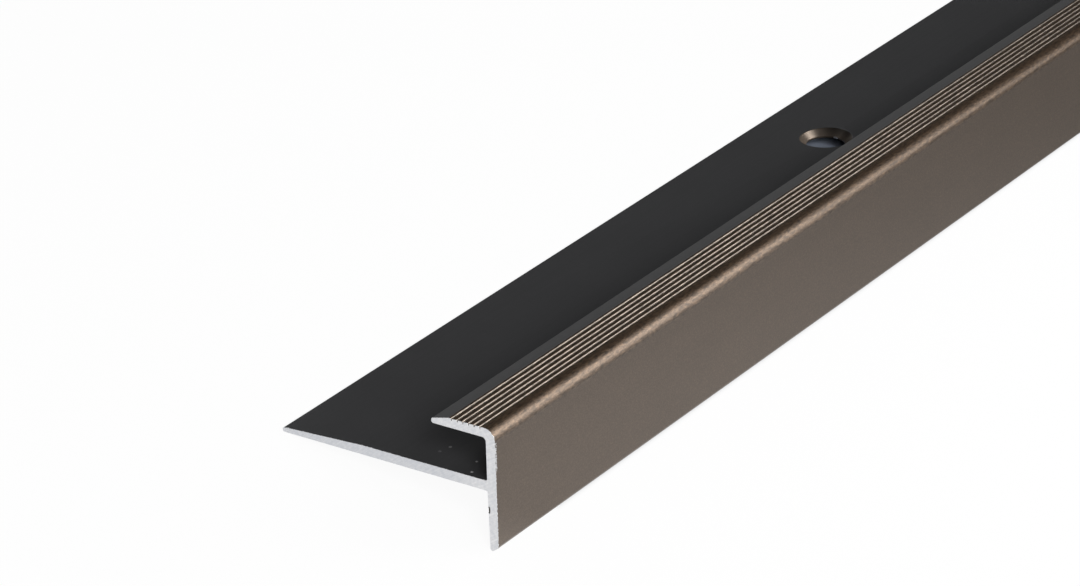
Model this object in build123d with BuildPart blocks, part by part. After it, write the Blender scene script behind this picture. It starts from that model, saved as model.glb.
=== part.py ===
from build123d import *
from math import atan2, ceil, degrees, sqrt
import os

# A stair nose for the edge of an 8 mm laminate floor, extruded in aluminium in one piece and
# sawn to length. All sizes are in millimetres. Its section is drawn as it is fitted on a step:
# the front face stands at 0, the flange runs back from it, and the flange's underside is at 0.

# The bar
length = 900.0
depth = 46.5

# The flange that is screwed to the tread: it thins out behind its shoulder, towards the tip
flange_thickness = 1.95
front_to_shoulder = 29.0
shoulder_thickness = 1.8
tip_thickness = 0.85
edge_radius = 0.4

# The leg between the flange and the lip, and the slot that the floor's edge goes into
leg_thickness = 1.9
slot_height = 8.4
slot_top_radius = 0.8
slot_foot_radius = 0.4

# The lip over the floor's edge, with a rounded nose in front and a bevel behind
lip_length = 13.4
lip_thickness = 1.8
nose_radius = 2.3
bevel_length = 3.6
lip_edge_thickness = 0.9
lip_edge_radius = 0.4

# The V-shaped grooves along the top of the lip, which keep a foot from slipping
groove_count = 6
groove_pitch = 1.2
groove_depth = 0.3
front_to_groove = 3.15

# The skirt that hangs down over the riser, a little thinner at its foot, which slants up to the front
skirt_drop = 12.0
foot_slant = 1.15
foot_thickness = 1.7
foot_radius = 1.0
skirt_root_radius = 0.3

# The score line along the back of the skirt
score_drop = 3.7
score_depth = 0.4

# The countersunk screw holes along the flange
end_to_hole = 161.0
widest_hole_pitch = 300.0
front_to_hole = 29.7
hole_radius = 4.0
sink_radius = 5.5
sink_angle = 90.0

lip_underside = flange_thickness + slot_height
lip_top = lip_underside + lip_thickness

# Each corner of the section with the radius of its round, clockwise from the skirt's foot
corners = [
    ((0, foot_slant - skirt_drop), foot_radius),
    ((0, lip_top), nose_radius),
    ((lip_length - bevel_length, lip_top), 0),
    ((lip_length, lip_underside + lip_edge_thickness), lip_edge_radius),
    ((lip_length, lip_underside), lip_edge_radius),
    ((leg_thickness, lip_underside), slot_top_radius),
    ((leg_thickness, flange_thickness), slot_foot_radius),
    ((front_to_shoulder, shoulder_thickness), 0),
    ((depth, tip_thickness), edge_radius),
    ((depth, 0), edge_radius),
    ((leg_thickness, 0), skirt_root_radius),
    ((foot_thickness, -skirt_drop), edge_radius),
]

# The score is cut by a square that stands on its corner, with its middle on the surface
score_side = score_depth * sqrt(2)
middle_of_grooves = front_to_groove + groove_pitch * (groove_count - 1) / 2
skirt_taper = (leg_thickness - foot_thickness) / skirt_drop
front_to_score = leg_thickness - skirt_taper * score_drop

with BuildSketch() as section:
    with BuildLine():
        FilletPolyline(
            [corner for corner, radius in corners],
            radius=[radius for corner, radius in corners],
            close=True,
        )
    make_face()
    with Locations((middle_of_grooves, lip_top)):
        with GridLocations(groove_pitch, 0, groove_count, 1):
            RegularPolygon(groove_depth, side_count=3, rotation=-90, mode=Mode.SUBTRACT)
    with Locations((front_to_score, -score_drop)):
        Rectangle(score_side, score_side, rotation=45, mode=Mode.SUBTRACT)

# Left on a level floor, the bar comes to rest on the skirt's foot and the flange's tip. The two
# have the same round, so the floor runs parallel to the line between the middles of the rounds.
rounds = section.edges().filter_by(GeomType.CIRCLE)
foot_round = rounds.sort_by(Axis.Y)[0]
tip_round = rounds.sort_by(Axis.X)[-2:].sort_by(Axis.Y)[0]
foot_to_tip = tip_round.arc_center - foot_round.arc_center
rest_tilt = degrees(atan2(foot_to_tip.Y, foot_to_tip.X))
at_rest = section.sketch.rotate(Axis.Z, -rest_tilt).bounding_box()
section_plane = Plane(
    origin=(-length / 2, -at_rest.center().X, -at_rest.min.Y),
    x_dir=Vector(0, 1, 0).rotate(Axis.X, -rest_tilt),
    z_dir=(1, 0, 0),
)

# The holes are drilled square to the flange, as many as keep within the widest pitch
first_to_last_hole = length - 2 * end_to_hole
hole_gaps = ceil(first_to_last_hole / widest_hole_pitch)
hole_line = Plane(
    origin=section_plane.from_local_coords((front_to_hole, shoulder_thickness, length / 2)),
    x_dir=section_plane.z_dir,
    z_dir=section_plane.y_dir,
)

with BuildPart() as stair_nose:
    with BuildSketch(section_plane):
        add(section.sketch)
    extrude(amount=length)
    with Locations(hole_line):
        with GridLocations(first_to_last_hole / hole_gaps, 0, hole_gaps + 1, 1):
            CounterSinkHole(hole_radius, sink_radius, counter_sink_angle=sink_angle)

os.makedirs("parts", exist_ok=True)
stair_nose.part.label = "stair_nose"
export_step(stair_nose.part, "parts/stair_nose.step")
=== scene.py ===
from math import atan2, cos, pi, radians, sin

import bpy
from mathutils import Matrix, Vector


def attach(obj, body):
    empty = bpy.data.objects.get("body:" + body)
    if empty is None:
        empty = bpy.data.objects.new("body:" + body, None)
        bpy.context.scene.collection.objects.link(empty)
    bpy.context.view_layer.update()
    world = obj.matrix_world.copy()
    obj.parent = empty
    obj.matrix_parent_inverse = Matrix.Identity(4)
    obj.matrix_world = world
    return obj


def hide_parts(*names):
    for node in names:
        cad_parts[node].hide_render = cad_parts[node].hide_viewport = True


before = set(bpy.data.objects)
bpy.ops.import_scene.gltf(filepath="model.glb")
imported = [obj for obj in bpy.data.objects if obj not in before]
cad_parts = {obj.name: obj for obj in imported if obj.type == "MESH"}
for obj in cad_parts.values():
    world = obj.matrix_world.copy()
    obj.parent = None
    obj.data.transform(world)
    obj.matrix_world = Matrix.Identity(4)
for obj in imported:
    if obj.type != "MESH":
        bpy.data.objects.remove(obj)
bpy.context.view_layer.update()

# The camera
# It stands about 0.8 m from the sawn end, in front of the bar and above it, and looks along the
# bar, so that the far end runs out of the picture at the top right.

camera_place = (-1.00357, -0.31568, 0.45534)
camera_turn = (56.7467, -10.4699, -55.1838)
camera_lens = 147.472

camera = bpy.data.objects.new("camera", bpy.data.cameras.new("camera"))
camera.location = camera_place
camera.rotation_euler = [radians(turn) for turn in camera_turn]
camera.data.lens = camera_lens
camera.data.sensor_width = 36
camera.data.clip_start = 0.01
bpy.context.scene.collection.objects.link(camera)
bpy.context.scene.camera = camera

# The bar
# One aluminium extrusion, pushed through a die, sawn to length, drilled and countersunk. Its
# section is drawn as it is fitted on a step, in millimetres: the front face stands at 0 and the
# flange's underside is at 0.

mm = 0.001

length = 900.0
depth = 46.5

flange_thickness = 1.95
front_to_shoulder = 29.0
shoulder_thickness = 1.8
tip_thickness = 0.85
edge_radius = 0.4

leg_thickness = 1.9
slot_height = 8.4
slot_top_radius = 0.8
slot_foot_radius = 0.4

lip_length = 13.4
lip_thickness = 1.8
lip_underside = flange_thickness + slot_height
lip_top = lip_underside + lip_thickness
nose_radius = 2.3
bevel_length = 3.6
lip_edge_thickness = 0.9
lip_edge_radius = 0.4

groove_count = 6
groove_pitch = 1.2
groove_depth = 0.3
groove_foot_forward = 0.115
groove_foot_down = 0.2
front_to_groove = 3.15

skirt_drop = 12.0
foot_slant = 1.15
foot_thickness = 1.7
foot_radius = 1.0
skirt_root_radius = 0.3

score_drop = 3.7
score_depth = 0.4
front_to_score = leg_thickness - (leg_thickness - foot_thickness) / skirt_drop * score_drop

hole_count = 3
hole_pitch = 289.0
end_to_hole = 161.0
front_to_hole = 29.7
hole_radius = 4.0
sink_radius = 5.5

# Each corner of the section with the radius of its round, clockwise from the skirt's foot
corners = [
    ((0, foot_slant - skirt_drop), foot_radius),
    ((0, lip_top), nose_radius),
    ((lip_length - bevel_length, lip_top), 0),
    ((lip_length, lip_underside + lip_edge_thickness), lip_edge_radius),
    ((lip_length, lip_underside), lip_edge_radius),
    ((leg_thickness, lip_underside), slot_top_radius),
    ((leg_thickness, flange_thickness), slot_foot_radius),
    ((front_to_shoulder, shoulder_thickness), 0),
    ((depth, tip_thickness), edge_radius),
    ((depth, 0), edge_radius),
    ((leg_thickness, 0), skirt_root_radius),
    ((foot_thickness, -skirt_drop), edge_radius),
]
tip_corner = 9
foot_corner = 11


def middle_of_round(number):
    """The middle of a corner's round on the section, in millimetres."""
    corner, radius = corners[number]
    last_corner = corners[number - 1][0]
    next_corner = corners[(number + 1) % len(corners)][0]
    to_last = (Vector(last_corner) - Vector(corner)).normalized()
    to_next = (Vector(next_corner) - Vector(corner)).normalized()
    half_angle = to_last.angle(to_next) / 2
    return Vector(corner) + (to_last + to_next).normalized() * radius / sin(half_angle)


def reach(direction):
    """How far the section, with its rounds, reaches in a direction, in metres."""
    farthest = max(
        middle_of_round(number).dot(direction) + radius
        for number, (corner, radius) in enumerate(corners)
    )
    return farthest * mm


# Left on a level floor, the bar lies on the rounds of the skirt's foot and of the flange's tip
foot_to_tip = middle_of_round(tip_corner) - middle_of_round(foot_corner)
rest_tilt = atan2(foot_to_tip.y, foot_to_tip.x)
backwards = (0, cos(rest_tilt), -sin(rest_tilt))
upwards = (0, sin(rest_tilt), cos(rest_tilt))
along_the_bar = (1, 0, 0)
lying_down = Matrix((backwards, upwards, along_the_bar)).transposed()
to_back = Vector((cos(rest_tilt), sin(rest_tilt)))
to_floor = Vector((sin(rest_tilt), -cos(rest_tilt)))
section_origin = (-length / 2 * mm, (reach(-to_back) - reach(to_back)) / 2, reach(to_floor))

section = bpy.data.meshes.new("stair_nose_section")
section.from_pydata(
    [(back * mm, up * mm, 0) for (back, up), radius in corners],
    [(corner, (corner + 1) % len(corners)) for corner in range(len(corners))],
    [],
)
rounds = section.attributes.new("round", "FLOAT", "POINT")
for corner, ((back, up), radius) in enumerate(corners):
    rounds.data[corner].value = radius * mm
bar_drawing = bpy.data.objects.new("stair_nose_drawing", section)
bpy.context.scene.collection.objects.link(bar_drawing)

bar_tree = bpy.data.node_groups.new("stair_nose_bar", "GeometryNodeTree")


def node(tree, kind, inputs=(), **settings):
    """Adds a node. An input that is given a socket is linked to it, and any other gets the value."""
    made = tree.nodes.new(kind)
    for name, value in settings.items():
        setattr(made, name, value)
    for name, value in dict(inputs).items():
        if isinstance(value, bpy.types.NodeSocket):
            tree.links.new(value, made.inputs[name])
        else:
            made.inputs[name].default_value = value
    return made


def maths(tree, operation, *values):
    """Adds a Math node on these values or sockets and returns its result."""
    return node(tree, "ShaderNodeMath", enumerate(values), operation=operation).outputs[0]


def vector(tree, x, y, z):
    """Joins three values or sockets into a vector."""
    return node(tree, "ShaderNodeCombineXYZ", enumerate((x, y, z))).outputs[0]


def named_inputs(tree, kinds):
    """Gives a node tree its named inputs, and returns them as sockets of its Group Input."""
    for name, kind in kinds.items():
        tree.interface.new_socket(name, in_out="INPUT", socket_type="NodeSocket" + kind)
    return tree.nodes.new("NodeGroupInput").outputs


bar_tree.interface.new_socket("Bar", in_out="OUTPUT", socket_type="NodeSocketGeometry")
given = named_inputs(bar_tree, {
    "Section": "Geometry",
    "Length": "Float",
    "Steps in a round": "Int",
    "Grooves": "Int",
    "Groove pitch": "Float",
    "Groove depth": "Float",
    "Groove foot": "Vector",
    "First groove": "Vector",
    "Score depth": "Float",
    "Score": "Vector",
    "Holes": "Int",
    "Hole pitch": "Float",
    "First hole": "Vector",
    "Hole radius": "Float",
    "Sink radius": "Float",
    "Lying down": "Rotation",
    "Section origin": "Vector",
    "Film": "Material",
    "Bare metal": "Material",
})

# The section is filled and pushed out to the bar's length
outline = node(bar_tree, "GeometryNodeMeshToCurve", {"Mesh": given["Section"]})
corner_round = node(bar_tree, "GeometryNodeInputNamedAttribute", {"Name": "round"}, data_type="FLOAT")
rounded = node(bar_tree, "GeometryNodeFilletCurve", {
    "Curve": outline.outputs[0],
    "Count": given["Steps in a round"],
    "Radius": corner_round.outputs[0],
}, mode="POLY")
end_face = node(bar_tree, "GeometryNodeFillCurve", {
    "Curve": rounded.outputs[0],
}, mode="NGONS").outputs[0]
pushed_out = node(bar_tree, "GeometryNodeExtrudeMesh", {
    "Mesh": end_face,
    "Offset": vector(bar_tree, 0, 0, given["Length"]),
    "Offset Scale": 1.0,
    "Individual": False,
}, mode="FACES").outputs[0]
first_end = node(bar_tree, "GeometryNodeFlipFaces", {"Mesh": end_face}).outputs[0]
open_bar = node(bar_tree, "GeometryNodeJoinGeometry")
bar_tree.links.new(first_end, open_bar.inputs[0])
bar_tree.links.new(pushed_out, open_bar.inputs[0])
plain_bar = node(bar_tree, "GeometryNodeMergeByDistance", {
    "Geometry": open_bar.outputs[0],
    "Distance": 1e-6,
}).outputs[0]

# The cutters are this much longer than the cuts they make
overcut = 2.0


def groove(sides, cut_depth):
    """A rod with one corner down, a little longer than the extrusion, to cut a groove with."""
    rod = node(bar_tree, "GeometryNodeMeshCylinder", {
        "Vertices": sides,
        "Radius": cut_depth,
        "Depth": maths(bar_tree, "ADD", given["Length"], overcut * mm),
    })
    half = maths(bar_tree, "MULTIPLY", given["Length"], 0.5)
    return node(bar_tree, "GeometryNodeTransform", {
        "Geometry": rod.outputs["Mesh"],
        "Translation": vector(bar_tree, 0, 0, half),
        "Rotation": (0, 0, -pi / 2),
    }).outputs[0]


# The grooves along the lip are cut by a triangle, and the score line on the skirt by a square.
# The triangle's lower edge is moved down and to the front, so each groove leans a little.
position = node(bar_tree, "GeometryNodeInputPosition").outputs[0]
above_lip = node(bar_tree, "ShaderNodeSeparateXYZ", {0: position}).outputs["Y"]
leaning_groove = node(bar_tree, "GeometryNodeSetPosition", {
    "Geometry": groove(3, given["Groove depth"]),
    "Selection": maths(bar_tree, "LESS_THAN", above_lip, 0),
    "Offset": given["Groove foot"],
}).outputs[0]
groove_starts = node(bar_tree, "GeometryNodeMeshLine", {
    "Count": given["Grooves"],
    "Start Location": given["First groove"],
    "Offset": vector(bar_tree, given["Groove pitch"], 0, 0),
}, mode="OFFSET").outputs[0]
grooves = node(bar_tree, "GeometryNodeInstanceOnPoints", {
    "Points": groove_starts,
    "Instance": leaning_groove,
}).outputs[0]
score = node(bar_tree, "GeometryNodeTransform", {
    "Geometry": groove(4, given["Score depth"]),
    "Translation": given["Score"],
}).outputs[0]

# The drill and the countersink stand upright on the flange, at each place of the row of holes
steps_around = 96
drill_length = 20.0
drill = node(bar_tree, "GeometryNodeMeshCylinder", {
    "Vertices": steps_around,
    "Radius": given["Hole radius"],
    "Depth": drill_length * mm,
}).outputs["Mesh"]
sink_depth = maths(bar_tree, "SUBTRACT", given["Sink radius"], given["Hole radius"])
countersink = node(bar_tree, "GeometryNodeMeshCone", {
    "Vertices": steps_around,
    "Radius Top": maths(bar_tree, "ADD", given["Sink radius"], overcut * mm),
    "Radius Bottom": given["Hole radius"],
    "Depth": maths(bar_tree, "ADD", sink_depth, overcut * mm),
}).outputs["Mesh"]
countersink_in_place = node(bar_tree, "GeometryNodeTransform", {
    "Geometry": countersink,
    "Translation": vector(bar_tree, 0, 0, maths(bar_tree, "MULTIPLY", sink_depth, -1)),
}).outputs[0]
cutters = node(bar_tree, "GeometryNodeMeshBoolean", operation="UNION", solver="MANIFOLD")
bar_tree.links.new(drill, cutters.inputs["Mesh 2"])
bar_tree.links.new(countersink_in_place, cutters.inputs["Mesh 2"])
upright = node(bar_tree, "GeometryNodeTransform", {
    "Geometry": cutters.outputs["Mesh"],
    "Rotation": (-pi / 2, 0, 0),
}).outputs[0]
hole_places = node(bar_tree, "GeometryNodeMeshLine", {
    "Count": given["Holes"],
    "Start Location": given["First hole"],
    "Offset": vector(bar_tree, 0, 0, given["Hole pitch"]),
}, mode="OFFSET").outputs[0]
holes = node(bar_tree, "GeometryNodeInstanceOnPoints", {
    "Points": hole_places,
    "Instance": upright,
}).outputs[0]

machined = node(bar_tree, "GeometryNodeMeshBoolean", {
    "Mesh 1": plain_bar,
}, operation="DIFFERENCE", solver="MANIFOLD")
for cut in (grooves, score, holes):
    realized = node(bar_tree, "GeometryNodeRealizeInstances", {"Geometry": cut}).outputs[0]
    bar_tree.links.new(realized, machined.inputs["Mesh 2"])

# Only the edges that are really sharp stay sharp in the shading
sharp_angle = radians(3)
smooth = node(bar_tree, "GeometryNodeSetShadeSmooth", {
    "Geometry": machined.outputs["Mesh"],
    "Shade Smooth": True,
}).outputs[0]
bend = node(bar_tree, "GeometryNodeInputMeshEdgeAngle").outputs["Unsigned Angle"]
crisp = node(bar_tree, "GeometryNodeSetShadeSmooth", {
    "Geometry": smooth,
    "Selection": maths(bar_tree, "GREATER_THAN", bend, sharp_angle),
    "Shade Smooth": False,
}, domain="EDGE").outputs[0]

# The film covers all but the two sawn ends
facing = node(bar_tree, "GeometryNodeInputNormal").outputs[0]
facing_along = node(bar_tree, "ShaderNodeSeparateXYZ", {0: facing}).outputs["Z"]
end_on = maths(bar_tree, "GREATER_THAN", maths(bar_tree, "ABSOLUTE", facing_along), 0.99)
one_piece = node(bar_tree, "GeometryNodeRealizeInstances", {"Geometry": crisp}).outputs[0]
filmed = node(bar_tree, "GeometryNodeSetMaterial", {
    "Geometry": one_piece,
    "Material": given["Film"],
}).outputs[0]
finished = node(bar_tree, "GeometryNodeSetMaterial", {
    "Geometry": filmed,
    "Selection": end_on,
    "Material": given["Bare metal"],
}).outputs[0]

# It lies on the floor, on its skirt and its tip
placed = node(bar_tree, "GeometryNodeTransform", {
    "Geometry": finished,
    "Rotation": given["Lying down"],
    "Translation": given["Section origin"],
}).outputs[0]
node(bar_tree, "NodeGroupOutput", {"Bar": placed})

# The bar's film
# Fine glass-bead blasting, then a dark bronze anodic film. It covers the whole section, because
# the bar is anodised before it is sawn. The flange, the slot and the bevel are smooth and darker.

bronze = (0.122, 0.081, 0.051)
bronze_in_front = (0.118, 0.087, 0.063)
smooth_black = (0.140, 0.141, 0.147)
bevel_black = (0.112, 0.112, 0.116)
# The countersinks' pale and near-black colours are painted light and painted shade
sink_painted_light = (0.34, 0.275, 0.22)
sink_painted_shade = (0.008, 0.007, 0.006)
# The grooves' pale colour is a painted highlight
groove_painted_highlight = (0.285, 0.245, 0.205)
bare_chips = (0.6, 0.6, 0.61)

# A place on the bar, in millimetres: behind the front face, above the flange's underside, and
# from the sawn end
place_group = bpy.data.node_groups.new("place_on_the_bar", "ShaderNodeTree")
for name in ("Behind front", "Above underside", "From sawn end"):
    place_group.interface.new_socket(name, in_out="OUTPUT", socket_type="NodeSocketFloat")
on_section = node(place_group, "ShaderNodeMapping", {
    "Vector": node(place_group, "ShaderNodeTexCoord").outputs["Object"],
    "Location": section_origin,
    "Rotation": lying_down.to_euler(),
}, vector_type="TEXTURE").outputs[0]
in_mm = node(place_group, "ShaderNodeVectorMath", {
    0: on_section,
    "Scale": 1000,
}, operation="SCALE").outputs[0]
split = node(place_group, "ShaderNodeSeparateXYZ", {0: in_mm}).outputs
node(place_group, "NodeGroupOutput", {
    "Behind front": split["X"],
    "Above underside": split["Y"],
    "From sawn end": split["Z"],
})


def new_material(name, metallic, **constants):
    """A material with one Principled BSDF, and the constants on that shader's own sockets."""
    made = bpy.data.materials.new(name)
    made.use_nodes = True
    shader = made.node_tree.nodes["Principled BSDF"]
    shader.inputs["Metallic"].default_value = metallic
    for socket, value in constants.items():
        shader.inputs[socket.replace("_", " ")].default_value = value
    return made, made.node_tree, shader


def ramp(tree, value, low, high, from_value=0.0, to_value=1.0):
    """Runs smoothly from one value to another while the input goes from low to high."""
    return node(tree, "ShaderNodeMapRange", {
        "Value": value,
        "From Min": low,
        "From Max": high,
        "To Min": from_value,
        "To Max": to_value,
    }, interpolation_type="SMOOTHSTEP").outputs["Result"]


def mix(tree, amount, first, second):
    """Mixes two colours, each a socket or three numbers. They are inputs 6 and 7 of the node."""
    made = node(tree, "ShaderNodeMix", {"Factor": amount}, data_type="RGBA")
    for socket, value in ((made.inputs[6], first), (made.inputs[7], second)):
        if isinstance(value, bpy.types.NodeSocket):
            tree.links.new(value, socket)
        else:
            socket.default_value = (*value, 1)
    return made.outputs[2]


def mask(tree, *parts):
    """Multiplies masks, so that it is full only where all of them are. A number dims it."""
    total = parts[0]
    for part in parts[1:]:
        total = maths(tree, "MULTIPLY", total, part)
    return total


def noise(tree, scale, detail):
    """Noise between 0 and 1, with so many grains to the metre."""
    return node(tree, "ShaderNodeTexNoise", {
        "Vector": node(tree, "ShaderNodeTexCoord").outputs["Object"],
        "Scale": scale,
        "Detail": detail,
    }).outputs["Fac"]


def long_noise(tree, along_bar, across_bar, detail):
    """Noise between 0 and 1, with fewer grains to the metre along the bar than across it."""
    stretched = node(tree, "ShaderNodeVectorMath", {
        0: node(tree, "ShaderNodeTexCoord").outputs["Object"],
        1: (along_bar, across_bar, across_bar),
    }, operation="MULTIPLY").outputs[0]
    return node(tree, "ShaderNodeTexNoise", {
        "Vector": stretched,
        "Scale": 1.0,
        "Detail": detail,
    }).outputs["Fac"]


def tint(tree, colour, low, high, amount):
    """Multiplies a colour, by low where the amount is 0 and by high where it is 1."""
    factor = maths(tree, "MULTIPLY_ADD", amount, high - low, low)
    return node(tree, "ShaderNodeVectorMath", {0: colour, "Scale": factor}, operation="SCALE").outputs[0]


film_metallic = 0.75
film, film_tree, film_shader = new_material(
    "bronze_film",
    metallic=film_metallic,
    Coat_Roughness=0.32,
    Coat_IOR=1.6,
)
place = node(film_tree, "ShaderNodeGroup", node_tree=place_group).outputs
back = place["Behind front"]
up = place["Above underside"]
along = place["From sawn end"]

# The flange's top, the slot and the bevel are smooth and nearly black; the rest is blasted bronze
bevel_start = lip_length - bevel_length
nose_foot = lip_top - nose_radius
on_flange = mask(
    film_tree,
    ramp(film_tree, back, leg_thickness - 0.1, leg_thickness + 0.3),
    ramp(film_tree, up, lip_underside - 0.15, lip_underside - 0.35),
)
on_bevel = mask(
    film_tree,
    ramp(film_tree, back, bevel_start - 0.2, bevel_start + 0.1),
    ramp(film_tree, up, lip_underside - 0.15, lip_underside + 0.05),
)
smooth_part = maths(film_tree, "MAXIMUM", on_flange, on_bevel)
on_front = mask(
    film_tree,
    ramp(film_tree, back, 0.8, 0.2),
    ramp(film_tree, up, nose_foot + 0.75, nose_foot + 0.05),
)
film_colour = mix(film_tree, on_front, bronze, bronze_in_front)
film_colour = mix(film_tree, smooth_part, film_colour, smooth_black)
film_colour = mix(film_tree, on_bevel, film_colour, bevel_black)

# Painted light and shade: the countersinks are painted pale bronze on the walls towards the sawn end and
# nearly black on the walls towards the far end
half_pitch = hole_pitch / 2
from_first_hole = maths(film_tree, "SUBTRACT", along, end_to_hole)
from_hole = maths(film_tree, "WRAP", from_first_hole, half_pitch, -half_pitch)
beside_hole = maths(film_tree, "SUBTRACT", back, front_to_hole)
from_axis = node(film_tree, "ShaderNodeVectorMath", {
    0: vector(film_tree, from_hole, beside_hole, 0),
}, operation="LENGTH").outputs["Value"]
in_hole = mask(
    film_tree,
    ramp(film_tree, from_axis, sink_radius, sink_radius - 0.15),
    ramp(film_tree, up, 5.0, 4.0),
)
hole_light_and_shade = mix(film_tree, ramp(film_tree, from_hole, -2, 6.5), sink_painted_light, sink_painted_shade)
film_colour = mix(film_tree, in_hole, film_colour, hole_light_and_shade)

# Painted highlight: the walls of the grooves are painted paler than the ribs between them, so that they
# show as bright lines
last_groove = front_to_groove + groove_pitch * (groove_count - 1)
in_groove = mask(
    film_tree,
    ramp(film_tree, back, front_to_groove - 0.4, front_to_groove - 0.25),
    ramp(film_tree, back, last_groove + 0.45, last_groove + 0.35),
    ramp(film_tree, up, lip_top - 0.005, lip_top - 0.03),
    ramp(film_tree, up, lip_underside + 0.4, lip_underside + 0.6),
)
film_colour = mix(film_tree, in_groove, film_colour, groove_painted_highlight)

# Faint lines from the die along the bar and soft clouds in the dye. The grain of the blasting is painted
# as lighter specks of sparkle, and painted glints, lighter and darker, run along the nose's highlight
die_lines = long_noise(film_tree, 4, 1400, 2.0)
clouds = noise(film_tree, 55, 2.0)
grain = noise(film_tree, 3800, 1.0)
film_colour = tint(film_tree, film_colour, 0.93, 1.07, die_lines)
film_colour = tint(film_tree, film_colour, 0.93, 1.07, clouds)
blasted = maths(film_tree, "SUBTRACT", 1, smooth_part)
painted_sparkle = mask(film_tree, blasted, ramp(film_tree, grain, 0.35, 0.8))
film_colour = tint(film_tree, film_colour, 0.94, 1.4, painted_sparkle)
on_the_nose = mask(film_tree, blasted, ramp(film_tree, up, nose_foot - 0.65, nose_foot + 0.35))
painted_glints = maths(film_tree, "SUBTRACT", long_noise(film_tree, 900, 2400, 1.5), 0.5)
film_colour = tint(film_tree, film_colour, 1.0, 3.2, mask(film_tree, on_the_nose, painted_glints))

# The saw chipped the film along the ends, and left specks of swarf in the mouth of the slot
other_end = maths(film_tree, "SUBTRACT", length, along)
nearest_end = maths(film_tree, "MINIMUM", along, other_end)
ragged = maths(film_tree, "MULTIPLY_ADD", noise(film_tree, 2600, 1.0), -0.5, nearest_end)
chipped = ramp(film_tree, ragged, -0.13, -0.19)
specks = node(film_tree, "ShaderNodeTexVoronoi", {
    "Vector": node(film_tree, "ShaderNodeTexCoord").outputs["Object"],
    "Scale": 520,
}, feature="F1")
speck_number = node(film_tree, "ShaderNodeSeparateColor", {0: specks.outputs["Color"]}).outputs[0]
few = ramp(film_tree, speck_number, 0.50, 0.54)
swarf = mask(
    film_tree,
    on_flange,
    few,
    ramp(film_tree, specks.outputs["Distance"], 0.20, 0.12),
    ramp(film_tree, nearest_end, 15, 9),
    ramp(film_tree, back, 17, 13),
)
worn = maths(film_tree, "MAXIMUM", chipped, maths(film_tree, "MULTIPLY", swarf, 0.85))
film_colour = mix(film_tree, worn, film_colour, bare_chips)
metallic = maths(film_tree, "MULTIPLY_ADD", worn, -0.55, film_metallic)
film_roughness = maths(film_tree, "MULTIPLY_ADD", grain, 0.10, 0.28)
fine_grain = mask(film_tree, grain, maths(film_tree, "MULTIPLY_ADD", blasted, 0.3, 0.1))
nose_grain = mask(film_tree, on_the_nose, long_noise(film_tree, 600, 1500, 2.0))
film_bump = node(film_tree, "ShaderNodeBump", {
    "Height": maths(film_tree, "MULTIPLY_ADD", nose_grain, 0.8, fine_grain),
    "Strength": 1.0,
    "Distance": 0.04 * mm,
}).outputs[0]
film_tree.links.new(film_colour, film_shader.inputs["Base Color"])
film_tree.links.new(metallic, film_shader.inputs["Metallic"])
film_tree.links.new(maths(film_tree, "MULTIPLY", blasted, 0.45), film_shader.inputs["Coat Weight"])
film_tree.links.new(film_roughness, film_shader.inputs["Roughness"])
film_tree.links.new(film_bump, film_shader.inputs["Normal"])

# The bar's sawn ends
# The bar is sawn to length after it is anodised, so its ends are bare aluminium, with the curved
# scratches of the saw's teeth.

sawn_dull = (0.69, 0.70, 0.725)
sawn_bright = (0.80, 0.80, 0.81)
flange_shade = (0.30, 0.34, 0.42)
score_mouth_dark = (0.05, 0.045, 0.04)

bare_metal, bare_tree, bare_shader = new_material("sawn_aluminium", metallic=1.0)
end_place = node(bare_tree, "ShaderNodeGroup", node_tree=place_group).outputs
end_back = end_place["Behind front"]
end_up = end_place["Above underside"]

# The scratches run round the middle of the saw blade, which was in front of the bar and below it
saw_in_front = 70.0
saw_below = 110.0
from_saw = node(bare_tree, "ShaderNodeVectorMath", {0: vector(
    bare_tree,
    maths(bare_tree, "ADD", end_back, saw_in_front),
    maths(bare_tree, "ADD", end_up, saw_below),
    0,
)}, operation="LENGTH").outputs["Value"]
scratches = node(bare_tree, "ShaderNodeTexNoise", {
    "W": from_saw,
    "Scale": 3.2,
    "Detail": 3.0,
}, noise_dimensions="1D").outputs["Fac"]
blotches = noise(bare_tree, 1300, 3.0)
end_colour = mix(bare_tree, ramp(bare_tree, blotches, 0.3, 0.7), sawn_dull, sawn_bright)
end_colour = tint(bare_tree, end_colour, 0.90, 1.10, scratches)

# The flange's end is a little darker and bluer
on_flange_end = mask(
    bare_tree,
    ramp(bare_tree, end_back, 3, 12),
    ramp(bare_tree, end_up, 4, 3),
    0.18,
)
end_colour = mix(bare_tree, on_flange_end, end_colour, flange_shade)

# The end is painted dark round the mouth of the score line
behind_score = maths(bare_tree, "SUBTRACT", end_back, front_to_score - 0.15)
above_score = maths(bare_tree, "ADD", end_up, score_drop)
from_score = node(bare_tree, "ShaderNodeVectorMath", {0: vector(
    bare_tree,
    maths(bare_tree, "MULTIPLY", behind_score, 4.2),
    maths(bare_tree, "MULTIPLY", above_score, 1.4),
    0,
)}, operation="LENGTH").outputs["Value"]
end_colour = mix(bare_tree, ramp(bare_tree, from_score, 1.1, 0.85), end_colour, score_mouth_dark)
end_roughness = maths(bare_tree, "MULTIPLY_ADD", blotches, 0.2, 0.4)
end_bump = node(bare_tree, "ShaderNodeBump", {
    "Height": maths(bare_tree, "ADD", scratches, blotches),
    "Strength": 1.0,
    "Distance": 0.01 * mm,
}).outputs[0]
bare_tree.links.new(end_colour, bare_shader.inputs["Base Color"])
bare_tree.links.new(end_roughness, bare_shader.inputs["Roughness"])
bare_tree.links.new(end_bump, bare_shader.inputs["Normal"])


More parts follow.
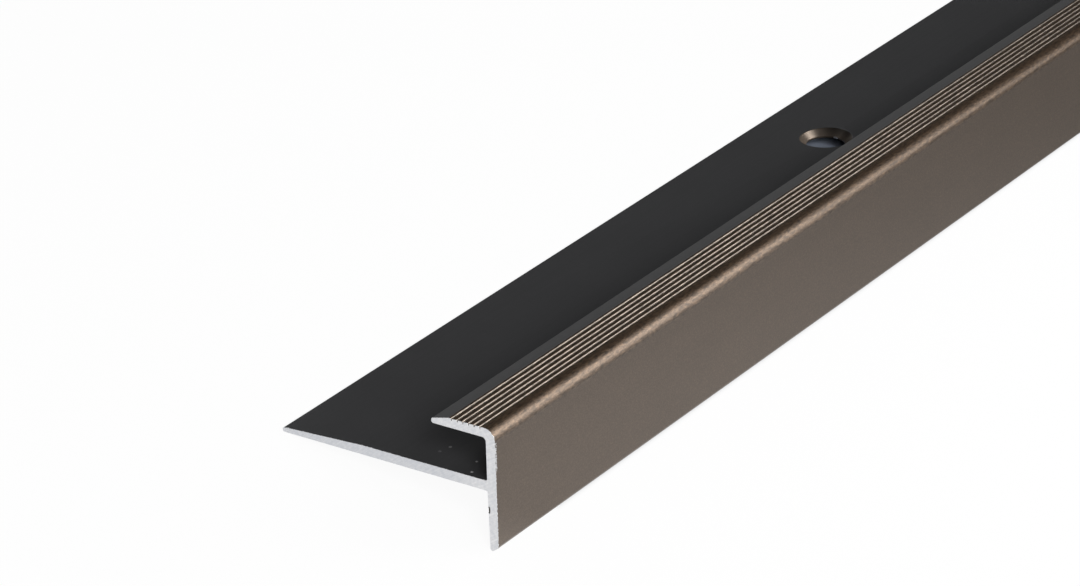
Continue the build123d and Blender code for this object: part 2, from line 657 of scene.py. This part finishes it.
def made_from(drawing, tree, sizes, name):
    """Runs a node tree with these sizes on a drawing, and keeps the result as a plain mesh object."""
    making = drawing.modifiers.new("making", "NODES")
    making.node_group = tree
    for item in tree.interface.items_tree:
        if item.name in sizes:
            making[item.identifier] = sizes[item.name]
    shaped = drawing.evaluated_get(bpy.context.evaluated_depsgraph_get())
    made = bpy.data.objects.new(name, bpy.data.meshes.new_from_object(shaped))
    drawing.modifiers.remove(making)
    bpy.data.objects.remove(drawing)
    bpy.context.scene.collection.objects.link(made)
    return made


# The whole bar, at its real sizes, with the film and the bare ends on it
stair_nose = made_from(bar_drawing, bar_tree, {
    "Length": length * mm,
    "Steps in a round": 40,
    "Grooves": groove_count,
    "Groove pitch": groove_pitch * mm,
    "Groove depth": groove_depth * mm,
    "Groove foot": (-groove_foot_forward * mm, -groove_foot_down * mm, 0),
    "First groove": (front_to_groove * mm, lip_top * mm, 0),
    "Score depth": score_depth * mm,
    "Score": (front_to_score * mm, -score_drop * mm, 0),
    "Holes": hole_count,
    "Hole pitch": hole_pitch * mm,
    "First hole": (front_to_hole * mm, shoulder_thickness * mm, end_to_hole * mm),
    "Hole radius": hole_radius * mm,
    "Sink radius": sink_radius * mm,
    "Lying down": lying_down.to_euler(),
    "Section origin": section_origin,
    "Film": film,
    "Bare metal": bare_metal,
}, "stair_nose_bar")

# The mesh comes back with an empty material slot in front, which no face uses
stair_nose.data.materials.pop(index=0)
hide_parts("stair_nose")
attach(stair_nose, "root")

# The burr
# The saw came out through the nose and the front face, and left a ragged edge of bare metal bits
# on the near end, and a bit of swarf in the mouth of the score line. They are aluminium of the
# bar, and nobody filed them off.

burr_drawing = bpy.data.objects.new("burr_drawing", bpy.data.meshes.new("burr_drawing"))
bpy.context.scene.collection.objects.link(burr_drawing)
burr_tree = bpy.data.node_groups.new("burr", "GeometryNodeTree")
burr_tree.interface.new_socket("Burr", in_out="OUTPUT", socket_type="NodeSocketGeometry")
given = named_inputs(burr_tree, {
    "Bits": "Int",
    "Lowest bit": "Vector",
    "From bit to bit": "Vector",
    "Stray": "Vector",
    "Smallest bit": "Vector",
    "Largest bit": "Vector",
    "Plug": "Vector",
    "Plug size": "Vector",
    "Lying down": "Rotation",
    "Section origin": "Vector",
    "Bare metal": "Material",
})
edge = node(burr_tree, "GeometryNodeMeshLine", {
    "Count": given["Bits"],
    "Start Location": given["Lowest bit"],
    "Offset": given["From bit to bit"],
}, mode="OFFSET").outputs[0]


def uneven(lowest, highest, seed):
    """A random vector for each bit, between these two."""
    return node(burr_tree, "FunctionNodeRandomValue", {
        0: lowest,
        1: highest,
        "Seed": seed,
    }, data_type="FLOAT_VECTOR").outputs[0]


strayed = node(burr_tree, "GeometryNodeSetPosition", {
    "Geometry": edge,
    "Offset": uneven((0, 0, 0), given["Stray"], 3),
}).outputs[0]
bit = node(burr_tree, "GeometryNodeMeshIcoSphere", {"Radius": 1.0, "Subdivisions": 1}).outputs["Mesh"]
bits = node(burr_tree, "GeometryNodeInstanceOnPoints", {
    "Points": strayed,
    "Instance": bit,
    "Scale": uneven(given["Smallest bit"], given["Largest bit"], 5),
}).outputs[0]
plug = node(burr_tree, "GeometryNodeTransform", {
    "Geometry": bit,
    "Translation": given["Plug"],
    "Scale": given["Plug size"],
}).outputs[0]
bits_and_plug = node(burr_tree, "GeometryNodeJoinGeometry")
burr_tree.links.new(bits, bits_and_plug.inputs[0])
burr_tree.links.new(plug, bits_and_plug.inputs[0])
all_bits = node(burr_tree, "GeometryNodeRealizeInstances", {
    "Geometry": bits_and_plug.outputs[0],
}).outputs[0]
bits_in_place = node(burr_tree, "GeometryNodeTransform", {
    "Geometry": all_bits,
    "Rotation": given["Lying down"],
    "Translation": given["Section origin"],
}).outputs[0]
bare_bits = node(burr_tree, "GeometryNodeSetMaterial", {
    "Geometry": bits_in_place,
    "Material": given["Bare metal"],
}).outputs[0]
node(burr_tree, "NodeGroupOutput", {"Burr": bare_bits})

burr = made_from(burr_drawing, burr_tree, {
    "Bits": 40,
    "Lowest bit": (0.04 * mm, 4.4 * mm, 0.11 * mm),
    "From bit to bit": (0, 0.135 * mm, 0),
    "Stray": (-0.24 * mm, 0.2 * mm, 0.05 * mm),
    "Smallest bit": (0.04 * mm, 0.05 * mm, 0.06 * mm),
    "Largest bit": (0.20 * mm, 0.17 * mm, 0.10 * mm),
    "Plug": ((front_to_score - 0.20) * mm, -score_drop * mm, 0.1 * mm),
    "Plug size": (0.24 * mm, 0.5 * mm, 0.1 * mm),
    "Lying down": lying_down.to_euler(),
    "Section origin": section_origin,
    "Bare metal": bare_metal,
}, "burr")
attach(burr, "root")

# The floor and the light
# A pale studio floor, and soft lamps: a large one above the camera for the sawn end and the
# flange, three small ones at different heights that draw the highlight along the nose, one
# farther along for the front, and two wide ones for the views from the other sides.

white_paint = (0.92, 0.92, 0.92)
# The blue-grey is painted shade for the floor under the bar
painted_floor_shade = (0.30, 0.34, 0.42)

floor = bpy.data.objects.new("floor", bpy.data.meshes.new("floor"))
floor_half = 12.0
floor.data.from_pydata(
    [
        (-floor_half, -floor_half, 0),
        (floor_half, -floor_half, 0),
        (floor_half, floor_half, 0),
        (-floor_half, floor_half, 0),
    ],
    [],
    [(0, 1, 2, 3)],
)
bpy.context.scene.collection.objects.link(floor)

floor_paint = bpy.data.materials.new("floor_paint")
floor_paint.use_nodes = True
floor_tree = floor_paint.node_tree
floor_tree.nodes.clear()
ray = node(floor_tree, "ShaderNodeLightPath").outputs
on_floor = node(floor_tree, "ShaderNodeTexCoord").outputs["Object"]
floor_place = node(floor_tree, "ShaderNodeSeparateXYZ", {0: on_floor}).outputs

# Painted shade: under the bar, up to about 20 mm from its ends, the floor is painted blue-grey and does
# not glow
beside = ramp(floor_tree, maths(floor_tree, "ABSOLUTE", floor_place["Y"]), 0.0215, 0.0245)
past_the_ends = ramp(floor_tree, maths(floor_tree, "ABSOLUTE", floor_place["X"]), 0.425, 0.432)
open_floor = maths(floor_tree, "MAXIMUM", beside, past_the_ends)

# In the bar's reflections the floor is white before the sawn end, and darker farther along
in_front = ramp(floor_tree, floor_place["X"], -0.44, -0.16, 0.74, 0.27)
around = ramp(floor_tree, floor_place["Y"], -0.02, 0.02, in_front, 0.33)
to_the_end = ramp(floor_tree, floor_place["X"], -0.40, -0.45)
reflected = maths(floor_tree, "MAXIMUM", around, to_the_end)
strength = node(floor_tree, "ShaderNodeMix", {0: ray["Is Glossy Ray"], 2: 1.0, 3: reflected}).outputs[0]
white = node(floor_tree, "ShaderNodeEmission", {
    "Color": (1, 1, 1, 1),
    "Strength": strength,
}).outputs[0]

# The floor glows white where it is seen, but for a small share of paint that shows the shadow
glow = 0.94
seen = maths(floor_tree, "MAXIMUM", ray["Is Camera Ray"], ray["Is Transmission Ray"])
seen = maths(floor_tree, "MAXIMUM", maths(floor_tree, "MULTIPLY", seen, glow), ray["Is Glossy Ray"])
floor_colour = mix(floor_tree, open_floor, painted_floor_shade, white_paint)
matt = node(floor_tree, "ShaderNodeBsdfDiffuse", {"Color": floor_colour}).outputs[0]
lit = maths(floor_tree, "MULTIPLY", seen, open_floor)
floor_mix = node(floor_tree, "ShaderNodeMixShader", {0: lit, 1: matt, 2: white}).outputs[0]
node(floor_tree, "ShaderNodeOutputMaterial", {"Surface": floor_mix})
floor.data.materials.append(floor_paint)

# The room round them is nearly dark
world = bpy.data.worlds.new("studio")
bpy.context.scene.world = world
world.use_nodes = True
world.node_tree.nodes["Background"].inputs["Color"].default_value = (1, 1, 1, 1)
world.node_tree.nodes["Background"].inputs["Strength"].default_value = 0.03


def soft_lamp(name, place, target, width, height, power):
    """A rectangular soft lamp that faces its target."""
    light = bpy.data.lights.new(name, "AREA")
    light.shape = "RECTANGLE"
    light.size = width
    light.size_y = height
    light.energy = power
    lamp = bpy.data.objects.new(name, light)
    lamp.location = place
    lamp.rotation_euler = (Vector(target) - Vector(place)).to_track_quat("-Z", "Y").to_euler()
    lamp.visible_camera = False
    bpy.context.scene.collection.objects.link(lamp)


near_end = (-0.41, -0.015, 0.02)
middle = (-0.1, 0, 0.02)
soft_lamp("key_lamp", (-1.10, -0.62, 0.78), near_end, 0.55, 0.55, 13.5)
soft_lamp("high_lamp", (-0.185, -0.084, 0.234), near_end, 0.15, 0.2, 0.068)
soft_lamp("nose_lamp", (-0.205, -0.171, 0.180), near_end, 0.15, 0.2, 0.065)
soft_lamp("low_lamp", (-0.195, -0.223, 0.103), near_end, 0.15, 0.2, 0.115)
soft_lamp("far_lamp", (0.06, -0.33, 0.26), near_end, 0.3, 0.3, 0.49)
soft_lamp("over_lamp", (0.5, -0.8, 1.2), middle, 0.8, 0.8, 5.8)
soft_lamp("back_lamp", (-0.3, 1.0, 1.0), middle, 0.8, 0.8, 2.6)

bpy.context.scene.view_settings.view_transform = "Standard"
